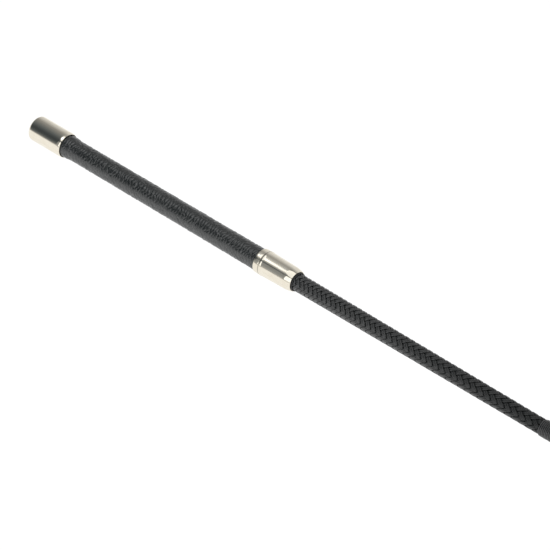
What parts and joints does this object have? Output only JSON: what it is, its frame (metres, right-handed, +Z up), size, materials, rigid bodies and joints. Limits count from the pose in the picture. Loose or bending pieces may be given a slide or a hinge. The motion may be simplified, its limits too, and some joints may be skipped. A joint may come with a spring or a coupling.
{
  "type": "riding crop",
  "caption": "Riding crop: metal-capped handle with a textured sleeve, metal ferrule, braided tapering shaft, thread whipping and a flat leather keeper that flexes.",
  "frame": {"origin": "on the surface that the crop lies on, under the middle of its length", "axes": "+X along the crop from the butt to the keeper, +Z up, the keeper's flat faces looking up and down"},
  "size_m": [0.61, 0.031, 0.0196],
  "materials": {
    "nickel": "polished nickel plate, warm tone",
    "plug_steel": "as turned",
    "handle_tube": "as moulded",
    "grip_leather": "black, cross-grained, semi-gloss",
    "bushing_rubber": "matt black",
    "core_rod": "drawn glass fibre in resin",
    "filler_sheath": "soft foamed sheath",
    "braid": "black braided nylon yarn",
    "whipping": "black waxed thread",
    "keeper_leather": "black smooth bridle leather",
    "stitching": "black linen thread"
  },
  "bodies": {
    "crop": {"handle_cap": "nickel", "handle_plug": "plug_steel", "handle_tube": "handle_tube", "grip_sleeve": "grip_leather", "ferrule": "nickel", "ferrule_bushing": "bushing_rubber", "shaft_core": "core_rod", "core_sheath": "filler_sheath", "braid_cover": "braid", "tip_whipping": "whipping", "keeper_root": "keeper_leather"},
    "keeper": {"keeper_tongue": "keeper_leather", "keeper_needle_thread": "stitching", "keeper_bobbin_thread": "stitching"}
  },
  "joints": [
    {"name": "keeper_flex", "type": "hinge", "parent": "crop", "child": "keeper", "pos_m": [0.211, 0, 0.0098], "axis": [0, -1, 0], "range_deg": [-60, 60], "stiffness_Nm_per_rad": 0.08, "springref_deg": 2.52}
  ]
}
